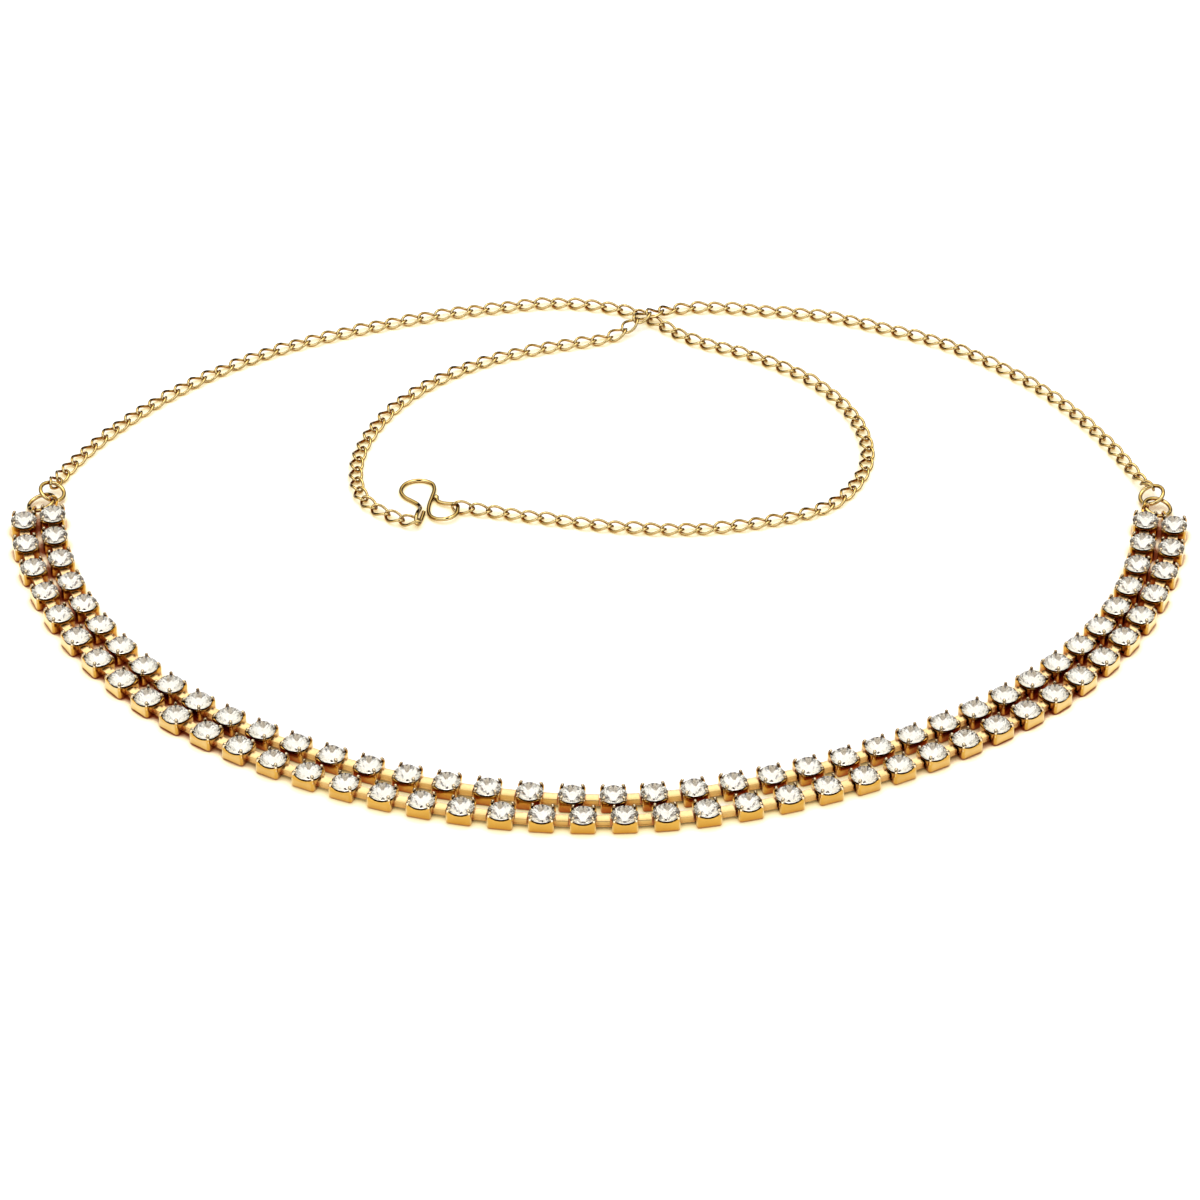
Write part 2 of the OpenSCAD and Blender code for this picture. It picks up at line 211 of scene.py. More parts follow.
# Patterns as (scale, detail), and the span in which most numbers of such a pattern lie
NOISE_LOW, NOISE_HIGH = 0.3, 0.7
GOLD_CLOUD, GOLD_MARKS, GOLD_WAVES = (260, 3), (1500, 4), (700, 2)
GLASS_CLOUD, GLASS_MARKS = (300, 2), (900, 3)
BACKING_CLOUD, BACKING_MARKS = (500, 3), (1200, 3)
FLOOR_CLOUD = (3, 2)
WHITE = (1, 1, 1)

# Gold: reach of a recess, shares of open sky that count as closed and as open for its painted shade, dark end
# of its uneven tone, lowest and highest roughness as shares of its usual roughness, and depth of its waves
SKY_SAMPLES = 8
RECESS_REACH = 0.003
RECESS_CLOSED, RECESS_OPEN = 0.36, 0.65
GOLD_UNEVENNESS = (0.9, 0.86, 0.78)
GOLD_ROUGHNESS = (0.7, 1.4)
WAVE_DEPTH = 0.00005

# Foil, likewise in shares, and the lowest and highest roughness of the lacquer and the glass
FOIL_ROUGHNESS = (0.6, 1.5)
LACQUER_ROUGHNESS = (0.3, 0.5)
GLASS_ROUGHNESS = (0.0, 0.03)
GLASS_IOR = 1.45
# Roughness of the floor and the cards
MATT = 0.9

# Camera at the photo's angle
CAMERA_PLACE = (0.0002, -1.01984, 0.75736)
CAMERA_TILT = 53
CAMERA_LENS = 195
CAMERA_SENSOR = 36
CAMERA_REACH = 20

# Floor. Its painted shade, painted warm bounce light and painted glow go by the share of open sky, as if the
# gold beside it shaded and warmed it, and differ from in front to the flanks, which begin where x is large
# enough and y is small enough.
FLOOR_HALF = 2.0
FLOOR_Z = -0.00002
FLOOR_SKY_REACH = 0.0025
FLANK_X = (0.05, 0.075)
FLANK_Y = (0.022, 0.017)
FLOOR_DARK, FLOOR_PALE = (0.93, 0.93, 0.93), (0.95, 0.95, 0.95)
FLOOR_SHINE = 0.1
# Tones of painted shade, dark brown where the sky is most closed, and of painted warm bounce light further
# out
FRONT_PAINTED_SHADE_AND_BOUNCE = [(0.12, (0.3, 0.17, 0.05)), (0.25, (0.8, 0.62, 0.28)), (0.45, (1, 0.9, 0.58)),
              (0.72, (1, 0.93, 0.76)), (0.96, WHITE)]
FLANK_PAINTED_SHADE_AND_BOUNCE = [(0.3, (0.26, 0.045, 0.01)), (0.5, (0.4, 0.12, 0.04)), (0.62, (1, 0.9, 0.62)),
              (0.75, (1, 0.95, 0.76)), (0.93, WHITE)]
# Painted glow of warm bounce light, which the floor gives off itself
FRONT_PAINTED_BOUNCE_GLOW = [(0.1, (0, 0, 0)), (0.25, (0.4, 0.3, 0.12)), (0.5, (0.3, 0.24, 0.09)),
              (0.75, (0.1, 0.08, 0.02)), (0.93, (0, 0, 0))]
FLANK_PAINTED_BOUNCE_GLOW = [(0.2, (0.02, 0, 0)), (0.45, (0.06, 0.01, 0)), (0.57, (0.35, 0.3, 0.18)),
              (0.75, (0.14, 0.12, 0.05)), (0.95, (0, 0, 0))]

# Cards: a dark one all round, low down, and two that arch behind the camera
DARK_CARD_R = 1.5
DARK_CARD_LOW, DARK_CARD_HIGH = 0.02, 0.82
DARK_CARD_STEPS = 48
ARCH_R = 1.6
ARCH_STEPS = 8
SURROUNDINGS_LIGHT = 1.2


# Curves and placings
def unit(v):
    return v / np.linalg.norm(v)


def blend(a, b, c, d, t):
    """Point at t from b (0) to c (1) on the smooth curve through four points."""
    return 0.5 * (2 * b + (c - a) * t + (2 * a - 5 * b + 4 * c - d) * t * t
                  + (3 * b - a - 3 * c + d) * t ** 3)


def along(p, u):
    """Point of the smooth curve through the points p, where a whole number u is one of them."""
    i = min(int(math.floor(u)), len(p) - 3)
    return blend(p[i - 1], p[i], p[i + 1], p[i + 2], u - i)


def smooth_route(points, per_span, low_z):
    """Points of the smooth curve through all the points, per_span to each span and none under low_z."""
    p = np.array(points, float)
    q = np.vstack([2 * p[0] - p[1], p, 2 * p[-1] - p[-2]])
    steps = (len(p) - 1) * per_span
    curve = np.array([along(q, 1 + i / per_span) for i in range(steps + 1)])
    curve[:, 2] = np.maximum(curve[:, 2], low_z)
    return curve


def placing(origin, x_axis, z_axis):
    """Matrix that turns X to x_axis and Z as near to z_axis as that allows, with its origin at the point."""
    x = unit(np.array(x_axis, float))
    y = unit(np.cross(np.array(z_axis, float), x))
    place = np.eye(4)
    place[:3, 0] = x
    place[:3, 1] = y
    place[:3, 2] = np.cross(x, y)
    place[:3, 3] = origin
    return place


def turned(place, axis, degrees):
    """The placing with a turn about one of its own axes before it."""
    angles = [0.0, 0.0, 0.0]
    angles["XYZ".index(axis)] = math.radians(degrees)
    turn = np.array(Euler(angles).to_matrix().to_4x4())
    return place @ turn


def moved(x, y, z):
    place = np.eye(4)
    place[:3, 3] = (x, y, z)
    return place


def polar(r, degrees, z):
    return (r * math.cos(math.radians(degrees)), r * math.sin(math.radians(degrees)), z)


# Shells
class Shell:
    """Points and faces of one shape, with the number of the material of each face."""

    def __init__(self):
        self.points = np.zeros((0, 3))
        self.faces = []
        self.looks = []

    def add(self, points, faces, look=0):
        start = len(self.points)
        self.points = np.vstack([self.points, np.array(points, float)])
        self.faces += [tuple(start + i for i in face) for face in faces]
        self.looks += [look] * len(faces)

    def join(self, parts):
        """Adds many placed shells at once."""
        start = len(self.points)
        clouds = [self.points]
        for shell, place in parts:
            clouds.append(shell.points @ place[:3, :3].T + place[:3, 3])
            self.faces += [tuple(start + i for i in face) for face in shell.faces]
            self.looks += shell.looks
            start += len(shell.points)
        self.points = np.vstack(clouds)


def lattice(rows, columns, closed_rows=False, closed_columns=True):
    """Faces of a grid of points that are numbered row by row."""
    faces = []
    for r in range(rows if closed_rows else rows - 1):
        for c in range(columns if closed_columns else columns - 1):
            up = (r + 1) % rows
            right = (c + 1) % columns
            faces.append((r * columns + c, r * columns + right, up * columns + right, up * columns + c))
    return faces


def end_faces(rows, columns):
    """Faces that close the first and the last row of a grid whose rows are loops."""
    last = (rows - 1) * columns
    return [tuple(range(columns - 1, -1, -1)), tuple(last + c for c in range(columns))]


def tube(points, radii, sides):
    """Round wire through points, closed at both ends."""
    p = np.array(points, float)
    tangents = [unit(p[min(i + 1, len(p) - 1)] - p[max(i - 1, 0)]) for i in range(len(p))]
    side = unit(np.cross(tangents[0], (0, 0, 1)))
    ring_points = []
    for point, t, r in zip(p, tangents, radii):
        side = unit(side - side.dot(t) * t)
        up = np.cross(side, t)
        for k in range(sides):
            angle = 2 * math.pi * k / sides
            ring_points.append(point + r * (math.cos(angle) * side + math.sin(angle) * up))
    return ring_points, lattice(len(p), sides) + end_faces(len(p), sides)


# Cup
def scooped(x, y):
    """Height of a wall's top: lowest in the middle of each side."""
    reach = min(abs(x), abs(y))
    return min(CORNER_Z, WALL_Z + SCOOP_R - math.sqrt(SCOOP_R ** 2 - reach ** 2))


def outline(inset):
    """Rounded square, counterclockwise from the first stop of the back wall, which faces -X."""
    half = CUP_HALF - inset
    r = max(CORNER_R - inset, LEAST_CORNER_R)
    middle = half - r
    scale = middle / (CUP_HALF - CORNER_R)
    points = []
    for quarter in range(4):
        turn = math.radians(90 * quarter)
        side = [(-half, -s * scale) for s in SIDE_STOPS]
        corner = []
        for i in range(CORNER_STEPS + 1):
            angle = math.pi / 2 * i / CORNER_STEPS
            corner.append((-middle - r * math.cos(angle), -middle - r * math.sin(angle)))
        for x, y in side + corner:
            points.append((x * math.cos(turn) - y * math.sin(turn), x * math.sin(turn) + y * math.cos(turn)))
    return points


def cup_levels():
    """Outlines from the bottom's middle up the outside, over the rim and down the inside to the floor.

    Each is (inset, height, whether the height counts from the scooped top).
    """
    levels = [(BOTTOM_INSET, 0.0, False)]
    for i in range(FOOT_STEPS + 1):
        angle = math.pi / 2 * i / FOOT_STEPS
        levels.append((FOOT_R * (1 - math.sin(angle)), FOOT_R * (1 - math.cos(angle)), False))
    rise = [SLOT_LOW, SLOT_HIGH, WALL_MIDDLE_Z]
    levels += [(0.0, z, False) for z in rise]
    rim = [(0.0, -RIM_R), (RIM_CUT, -RIM_CUT), (RIM_R, 0.0)]
    levels += [(inset, z, True) for inset, z in rim]
    levels += [(WALL - inset, z, True) for inset, z in reversed(rim)]
    levels += [(WALL, z, False) for z in reversed(rise)]
    levels += [(WALL + INNER_FOOT, WALL, False), (BOTTOM_INSET, WALL, False)]
    return levels


def cup_shell(slotted):
    """Cup with its four claws. One that follows another has a slot through its back wall."""
    levels = cup_levels()
    columns = 4 * (len(SIDE_STOPS) + CORNER_STEPS + 1)
    points = []
    for inset, z, from_top in levels:
        for (x, y), (middle_x, middle_y) in zip(outline(inset), outline(WALL / 2)):
            points.append((x, y, z + scooped(middle_x, middle_y) if from_top else z))
    faces = lattice(len(levels), columns)
    if slotted:
        outer_low = levels.index((0.0, SLOT_LOW, False))
        outer_high = outer_low + 1
        inner_high = levels.index((WALL, SLOT_HIGH, False))
        inner_low = inner_high + 1
        last = len(SIDE_STOPS) - 1
        open_faces = {row * columns + c for row in (outer_low, inner_high) for c in range(last)}
        faces = [f for i, f in enumerate(faces) if i not in open_faces]
        for c in range(last):
            faces.append((outer_low * columns + c + 1, inner_low * columns + c + 1,
                          inner_low * columns + c, outer_low * columns + c))
            faces.append((outer_high * columns + c, inner_high * columns + c,
                          inner_high * columns + c + 1, outer_high * columns + c + 1))
        for c in (0, last):
            side = (outer_low * columns + c, outer_high * columns + c,
                    inner_high * columns + c, inner_low * columns + c)
            faces.append(side if c else side[::-1])
    faces += end_faces(len(levels), columns)
    shell = Shell()
    shell.add(points, faces, CUP)
    claw = Shell()
    claw.add(*tube([(d, 0, z) for d, z, r in CLAW_LINE], [r for d, z, r in CLAW_LINE], CLAW_SIDES), CLAW)
    shell.join([(claw, turned(np.eye(4), "Z", 45 + 90 * quarter)) for quarter in range(4)])
    return shell


# Connector and end loop
def bar(x0, x1, half, low, high, edge, camber=0.0):
    """Bar along X with small bevels on its long edges and ends, and a top that may be cambered."""
    section = [(-half + edge, low), (half - edge, low), (half, low + edge), (half, high - edge - camber),
               (half - edge, high - camber)]
    if camber:
        asides = [1 - k / CAMBER_STEPS for k in range(1, 2 * CAMBER_STEPS)]
        section += [(half * aside, high - camber * aside ** 2) for aside in asides]
    section += [(-half + edge, high - camber), (-half, high - edge - camber), (-half, low + edge)]
    middle = (low + high) / 2
    rows = [(x0, edge), (x0 + edge, 0), (x1 - edge, 0), (x1, edge)]
    points = []
    for x, cut in rows:
        scale_y = (half - cut) / half
        scale_z = (middle - low - cut) / (middle - low)
        points += [(x, y * scale_y, middle + (z - middle) * scale_z) for y, z in section]
    return points, lattice(len(rows), len(section)) + end_faces(len(rows), len(section))


def connector_shell(pitch):
    """Flat strip with its ridge and cross head, toward a cup that is pitch away."""
    ridge_end = pitch - CUP_HALF - RIDGE_GAP
    shell = Shell()
    shell.add(*bar(ROOT_X, HEAD_REACH, STRIP_HALF, STRIP_LOW, STRIP_HIGH, STRIP_EDGE), STRIP)
    shell.add(*bar(ROOT_X, ridge_end, RIDGE_HALF, RIDGE_LOW, RIDGE_HIGH, RIDGE_EDGE, RIDGE_CAMBER), STRIP)
    head = Shell()
    head.add(*bar(-HEAD_HALF, HEAD_HALF, HEAD_T / 2, HEAD_LOW, HEAD_HIGH, HEAD_EDGE), STRIP)
    shell.join([(head, turned(moved(HEAD_REACH, 0, 0), "Z", 90))])
    return shell


def ring_shell(radius, wire_r, steps, sides, gap=0.0):
    """Ring of round wire in its XY plane, open by a narrow joint of gap degrees where one is given."""
    if gap:
        angles = [math.radians(gap / 2 + (360 - gap) * i / steps) for i in range(steps + 1)]
        ease = RING_EDGE / radius
        angles = [angles[0]] + [angles[0] + ease] + angles[1:-1] + [angles[-1] - ease, angles[-1]]
        radii = [wire_r - RING_EDGE] + [wire_r] * (len(angles) - 2) + [wire_r - RING_EDGE]
    else:
        angles = [2 * math.pi * i / steps for i in range(steps)]
        radii = [wire_r] * steps
    points = []
    for angle, r in zip(angles, radii):
        for k in range(sides):
            turn = 2 * math.pi * k / sides
            out = radius + r * math.cos(turn)
            points.append((out * math.cos(angle), out * math.sin(angle), r * math.sin(turn)))
    faces = lattice(len(angles), sides, closed_rows=not gap)
    if gap:
        faces += end_faces(len(angles), sides)
    shell = Shell()
    shell.add(points, [face[::-1] for face in faces])
    return shell


def end_loop_shell(end):
    """Rising tab and soldered upright loop on an end cup, toward +X."""
    tab_turn, loop_z, loop_turn = end
    turn = math.radians(loop_turn)
    run = END_REACH - END_LOOP_R * math.cos(turn) - ROOT_X
    aside = -END_LOOP_R * math.sin(turn)
    rise = loop_z - TAB_Z
    length = math.sqrt(run ** 2 + aside ** 2 + rise ** 2)
    tab = Shell()
    tab.add(*bar(0, length, TAB_HALF, -TAB_T / 2, TAB_T / 2, TAB_EDGE))
    flat = math.hypot(run, aside)
    tab_place = turned(moved(ROOT_X, 0, TAB_Z), "Z", math.degrees(math.atan2(aside, run)))
    tab_place = turned(tab_place, "Y", -math.degrees(math.atan2(rise, flat)))
    loop = ring_shell(END_LOOP_R, END_LOOP_WIRE_R, END_LOOP_STEPS, END_LOOP_SIDES)
    loop_place = turned(turned(moved(END_REACH, 0, loop_z), "Z", loop_turn), "X", 90)
    whole = turned(np.eye(4), "Z", tab_turn)
    shell = Shell()
    shell.join([(tab, whole @ tab_place), (loop, whole @ loop_place)])
    return shell


# Stone
def plane_height(a, b, c, x, y):
    """Height of the plane through three points over (x, y)."""
    a, b, c = (np.array(p, float) for p in (a, b, c))
    n = np.cross(b - a, c - a)
    return a[2] - (n[0] * (x - a[0]) + n[1] * (y - a[1])) / n[2]


def main_of(j):
    """Number of the main facet's tip that half facet j meets."""
    return ((j + 1) // 2) % MAINS


def girdle_edge(tips, rim, j):
    """Points along the girdle from one rim point to the next, in the plane of half facet j."""
    first, last = rim[j], rim[(j + 1) % HALVES]
    points = [first]
    for i in range(1, EDGE_STEPS):
        x, y, z = polar(STONE_R, HALF_TURN * (j + i / EDGE_STEPS), 0)
        points.append((x, y, plane_height(tips[main_of(j)], first, last, x, y)))
    return points + [last]


def back_faces():
    """Thin cone of lacquer behind the foil."""
    points = [polar(r, 360 * i / BACK_SIDES, z) for r, z in BACK_LINE for i in range(BACK_SIDES)]
    faces = lattice(len(BACK_LINE), BACK_SIDES) + end_faces(len(BACK_LINE), BACK_SIDES)
    return points, [face[::-1] for face in faces]


def stone_shell():
    """Cut stone: the crown and girdle are glass, the underside is foiled, and the culet is bare."""
    shell = Shell()
    slope = (GIRDLE_LOW - CULET_Z) / STONE_R * math.cos(math.radians(HALF_TURN))
    table = [polar(TABLE_R, HALF_TURN + MAIN_TURN * k, TABLE_Z) for k in range(MAINS)]
    star = [polar(STAR_R, MAIN_TURN * k, STAR_Z) for k in range(MAINS)]
    tips = [polar(LOWER_TIP_R, MAIN_TURN * k, CULET_Z + slope * LOWER_TIP_R) for k in range(MAINS)]
    culet = [polar(CULET_R, MAIN_TURN * k, CULET_Z + slope * CULET_R) for k in range(MAINS)]
    upper = [polar(STONE_R, HALF_TURN * j, GIRDLE_HIGH) for j in range(HALVES)]
    lower = [polar(STONE_R, HALF_TURN * j, GIRDLE_LOW) for j in range(HALVES)]

    def facet(corners, look):
        shell.add(corners, [tuple(range(len(corners)))], look)

    facet(table, GLASS)
    for k in range(MAINS):
        before, after = (k - 1) % MAINS, (k + 1) % MAINS
        facet([table[before], star[k], table[k]], GLASS)
        facet([table[k], star[k], upper[2 * k + 1], star[after]], GLASS)
        facet([culet[k], culet[after], tips[after], lower[2 * k + 1], tips[k]], FOIL)
    facet(culet[::-1], CULET)
    for j in range(HALVES):
        ups, lows = girdle_edge(star, upper, j), girdle_edge(tips, lower, j)
        facet([star[main_of(j)]] + ups, GLASS)
        facet([tips[main_of(j)]] + lows[::-1], FOIL)
        for i in range(EDGE_STEPS):
            facet([lows[i], lows[i + 1], ups[i + 1], ups[i]], GLASS)
    shell.add(*back_faces(), BACK)
    return shell


# Chain
def link_shell():
    """Curb link along X: an oval of wire whose two ends are turned opposite ways."""
    line = []
    for i in range(LINK_STEPS):
        t = 2 * math.pi * i / LINK_STEPS
        twist = math.radians(LINK_TWIST) * math.cos(t)
        y = LINK_B * math.sin(t)
        line.append((LINK_A * math.cos(t), y * math.cos(twist), y * math.sin(twist)))
    line = np.array(line)
    points = []
    for i, p in enumerate(line):
        t = unit(line[(i + 1) % LINK_STEPS] - line[i - 1])
        out = unit(p - p.dot(t) * t)
        up = np.cross(t, out)
        for k in range(LINK_SIDES):
            angle = 2 * math.pi * k / LINK_SIDES
            points.append(p + LINK_WIRE_R * (math.cos(angle) * out - math.sin(angle) * up))
    shell = Shell()
    shell.add(points, lattice(LINK_STEPS, LINK_SIDES, closed_rows=True))
    return shell


def chain_joints(start, route, end):
    """Points where neighbouring links meet, from the ring at the start to the hook at the end."""
    path = np.vstack([[start], smooth_route(route, CHAIN_STEPS, 0.0)[1:-1], [end]])
    steps = np.linalg.norm(np.diff(path, axis=0), axis=1)
    reach = np.concatenate([[0], np.cumsum(steps)])
    free = reach[-1] - 2 * END_STEP
    count = round(free / LINK_PITCH)
    stops = [0.0] + [END_STEP + free * i / count for i in range(count + 1)] + [reach[-1]]
    return np.array([[np.interp(s, reach, path[:, axis]) for axis in range(3)] for s in stops])


def chain_places(link, joints, rolls):
    """Placing of each link: rolled a little, turned toward the rows and lying on the floor."""
    places = []
    count = len(joints) - 1
    for k in range(count):
        way = unit(joints[k + 1] - joints[k])
        if k == 0:
            middle = joints[1] - way * LINK_PITCH / 2
        elif k == count - 1:
            middle = joints[k] + way * LINK_PITCH / 2
        else:
            middle = (joints[k] + joints[k + 1]) / 2
        roll = rolls.get(k, rolls.get(k - count, 0)) + LINK_TILT * way[0]
        roll += sum(size * math.sin(step * k + start) for size, step, start in LINK_WAVES)
        place = turned(placing(middle, way, (0, 0, 1)), "X", roll)
        low = (link.points @ place[2, :3]).min() + place[2, 3]
        place[2, 3] += max(0.0, LINK_LOW_Z - low)
        places.append(place)
    return places


# Materials
class Look:
    """Material made of nodes. Each method that adds a node returns what comes out of it."""

    def __init__(self, name):
        self.material = bpy.data.materials.new(name)
        self.material.use_nodes = True
        self.nodes = self.material.node_tree.nodes
        self.links = self.material.node_tree.links
        self.shader = self.nodes["Principled BSDF"]

    def fill(self, node, values):
        """Sets a node's sockets to numbers or colours, or links other nodes' outputs to them."""
        for key, value in values.items():
            if isinstance(value, bpy.types.NodeSocket):
                self.links.new(value, node.inputs[key])
            elif isinstance(value, tuple):
                node.inputs[key].default_value = (*value, 1.0)
            else:
                node.inputs[key].default_value = value

    def place(self):
        return self.nodes.new("ShaderNodeTexCoord").outputs["Object"]

    def noise(self, place, pattern):
        scale, detail = pattern
        node = self.nodes.new("ShaderNodeTexNoise")
        self.fill(node, {"Scale": scale, "Detail": detail, "Vector": place})
        return node.outputs["Fac"]

    def ramp(self, source, stops):
        """Colour that goes with a number, by stops of (number, colour)."""
        node = self.nodes.new("ShaderNodeValToRGB")
        elements = node.color_ramp.elements
        while len(elements) < len(stops):
            elements.new(0.5)
        for element, (position, colour) in zip(elements, stops):
            element.position = position
            element.color = (*colour, 1.0)
        self.links.new(source, node.inputs["Fac"])
        return node.outputs["Color"]

    def rescale(self, source, span, result=(0.0, 1.0)):
        """Number that goes from the first to the second of result as source goes over the span."""
        node = self.nodes.new("ShaderNodeMapRange")
        self.fill(node, {"From Min": span[0], "From Max": span[1], "To Min": result[0],
                         "To Max": result[1], "Value": source})
        return node.outputs["Result"]

    def cloudy(self, place, pattern, dark, pale):
        return self.ramp(self.noise(place, pattern), [(NOISE_LOW, dark), (NOISE_HIGH, pale)])

    def uneven(self, place, pattern, low, high):
        return self.rescale(self.noise(place, pattern), (NOISE_LOW, NOISE_HIGH), (low, high))

    def mix(self, mode, factor, first, second):
        """Mix of two colours. Its colour sockets share their names with others, so they go by number."""
        node = self.nodes.new("ShaderNodeMix")
        node.data_type = "RGBA"
        node.blend_type = mode
        self.fill(node, {0: factor, 6: first, 7: second})
        return node.outputs[2]

    def calculate(self, operation, *values):
        node = self.nodes.new("ShaderNodeMath")
        node.operation = operation
        self.fill(node, dict(enumerate(values)))
        return node.outputs["Value"]

    def open_sky(self, reach):
        """Share of the sky over a point that nothing within reach hides."""
        node = self.nodes.new("ShaderNodeAmbientOcclusion")
        node.samples = SKY_SAMPLES
        self.fill(node, {"Distance": reach})
        return node.outputs["AO"]


def gold(name, painted_reflection_tones, recess_painted_shade, rough, bump):
    """Plated metal with uneven tone, fine polishing marks and slight waves.

    Its base colour holds a painted reflection, whose tones run from where it faces the eye to where it turns
    away, and a painted shade, whose colour it takes in recesses.
    """
    look = Look(name)
    place = look.place()
    # Painted reflection: the base colour goes with where the metal faces the eye, darker or paler where it
    # turns away.
    facing = look.nodes.new("ShaderNodeLayerWeight")
    look.fill(facing, {"Blend": 0.5})
    painted_reflection_tone = look.ramp(facing.outputs["Facing"], painted_reflection_tones)
    unevenness = look.cloudy(place, GOLD_CLOUD, GOLD_UNEVENNESS, WHITE)
    tone = look.mix("MULTIPLY", 1.0, painted_reflection_tone, unevenness)
    # Painted shade: the colour goes toward the shade colour where little open sky is within reach, in
    # recesses, between the rows and near the floor.
    openness = look.rescale(look.open_sky(RECESS_REACH), (RECESS_CLOSED, RECESS_OPEN))
    smoothest, roughest = GOLD_ROUGHNESS
    relief = look.nodes.new("ShaderNodeBump")
    look.fill(relief, {"Strength": bump, "Distance": WAVE_DEPTH, "Height": look.noise(place, GOLD_WAVES)})
    look.fill(look.shader, {"Base Color": look.mix("MIX", openness, recess_painted_shade, tone),
                            "Roughness": look.uneven(place, GOLD_MARKS, rough * smoothest, rough * roughest),
                            "Normal": relief.outputs["Normal"],
                            "Metallic": 1.0})
    return look.material


def mottled(name, cloud, dark, pale, marks, roughness, more):
    """Material with uneven tone and roughness, and more values of its shader."""
    look = Look(name)
    place = look.place()
    look.fill(look.shader, {"Base Color": look.cloudy(place, cloud, dark, pale),
                            "Roughness": look.uneven(place, marks, *roughness)})
    look.fill(look.shader, more)
    return look.material


def foil(name, dark, pale, rough):
    spread = [rough * share for share in FOIL_ROUGHNESS]
    return mottled(name, BACKING_CLOUD, dark, pale, BACKING_MARKS, spread, {"Metallic": 1.0})


def lacquer(name, dark, pale):
    return mottled(name, BACKING_CLOUD, dark, pale, BACKING_MARKS, LACQUER_ROUGHNESS, {})


def glass(name, dark, pale):
    clear = {"Transmission Weight": 1.0, "IOR": GLASS_IOR}
    return mottled(name, GLASS_CLOUD, dark, pale, GLASS_MARKS, GLASS_ROUGHNESS, clear)


# Each gold has tones of painted reflection, by where it faces the eye, and a colour of painted shade for its
# recesses.
CUP_GOLD = gold("cup_gold", recess_painted_shade=(0.32, 0.065, 0.02), rough=0.16, bump=0.25,
                painted_reflection_tones=[(0.25, (0.64, 0.36, 0.065)), (0.75, (0.98, 0.86, 0.5))])
CLAW_GOLD = gold("claw_gold", recess_painted_shade=(0.12, 0.06, 0.03), rough=0.12, bump=0.15,
                 painted_reflection_tones=[(0.1, (0.97, 0.84, 0.58)), (0.35, (0.62, 0.42, 0.22)), (0.6, (0.19, 0.115, 0.05))])
CHAIN_GOLD = gold("chain_gold", recess_painted_shade=(0.34, 0.13, 0.015), rough=0.07, bump=0.15,
                  painted_reflection_tones=[(0.04, (0.98, 0.8, 0.42)), (0.2, (0.68, 0.46, 0.14)), (0.48, (0.15, 0.09, 0.015))])
STRIP_GOLD = gold("strip_gold", recess_painted_shade=(0.4, 0.14, 0.04), rough=0.18, bump=0.2,
                  painted_reflection_tones=[(0.22, (0.68, 0.47, 0.16)), (0.4, (0.79, 0.55, 0.28))])
GLASS_LOOK = glass("stone_glass", dark=(0.96, 0.96, 0.95), pale=WHITE)
FOIL_LOOK = foil("stone_foil", dark=(0.94, 0.9, 0.8), pale=(0.99, 0.96, 0.88), rough=0.17)
CULET_LOOK = foil("stone_culet", dark=(0.04, 0.03, 0.02), pale=(0.07, 0.05, 0.04), rough=0.3)
BACK_LOOK = lacquer("stone_back", dark=(0.05, 0.03, 0.015), pale=(0.1, 0.055, 0.025))
CUP_LOOKS = [CUP_GOLD, CLAW_GOLD, STRIP_GOLD]
STONE_LOOKS = [GLASS_LOOK, FOIL_LOOK, CULET_LOOK, BACK_LOOK]


# Pieces
def new_object(name, data):
    made = bpy.data.objects.new(name, data)
    bpy.context.scene.collection.objects.link(made)
    return made


def soften(mesh, look):
    """Shades the edges between two faces of one look smoothly."""
    looks_at = {}
    for face in mesh.polygons:
        for key in face.edge_keys:
            looks_at.setdefault(key, []).append(face.material_index)
    for edge in mesh.edges:
        if looks_at[tuple(sorted(edge.vertices))] == [look, look]:
            edge.use_edge_sharp = False


def make_piece(name, shell, looks, crease, soft_look=None):
    """Mesh object in metres, riding on the part, smooth but for edges sharper than crease degrees."""
    mesh = bpy.data.meshes.new(name)
    mesh.from_pydata(((shell.points + SHIFT) * MM).tolist(), [], shell.faces)
    for look in looks:
        mesh.materials.append(look)
    mesh.polygons.foreach_set("material_index", shell.looks)
    mesh.polygons.foreach_set("use_smooth", [True] * len(mesh.polygons))
    mesh.set_sharp_from_angle(angle=math.radians(crease))
    if soft_look is not None:
        soften(mesh, soft_look)
    mesh.update()
    piece = new_object(name, mesh)
    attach(piece, "root")
    return piece


def row_frames(route, count):
    """Placing of each cup of a row, along with the turn and the distance to the next cup."""
    p = np.array(route, float)
    us = [1 + k * (len(p) - 3) / (count - 1) for k in range(count)]
    spots = [along(p, u) for u in us]
    frames = []
    for k, u in enumerate(us):
        way = along(p, min(len(p) - 2, u + HEADING_STEP)) - along(p, max(1, u - HEADING_STEP))
        heading = math.degrees(math.atan2(way[1], way[0]))
        place = turned(moved(spots[k][0], spots[k][1], 0), "Z", heading)
        link = None
        if k < count - 1:
            ahead = spots[k + 1] - spots[k]
            link = (math.degrees(math.atan2(ahead[1], ahead[0])) - heading, np.linalg.norm(ahead))
        frames.append((place, link))
    return frames


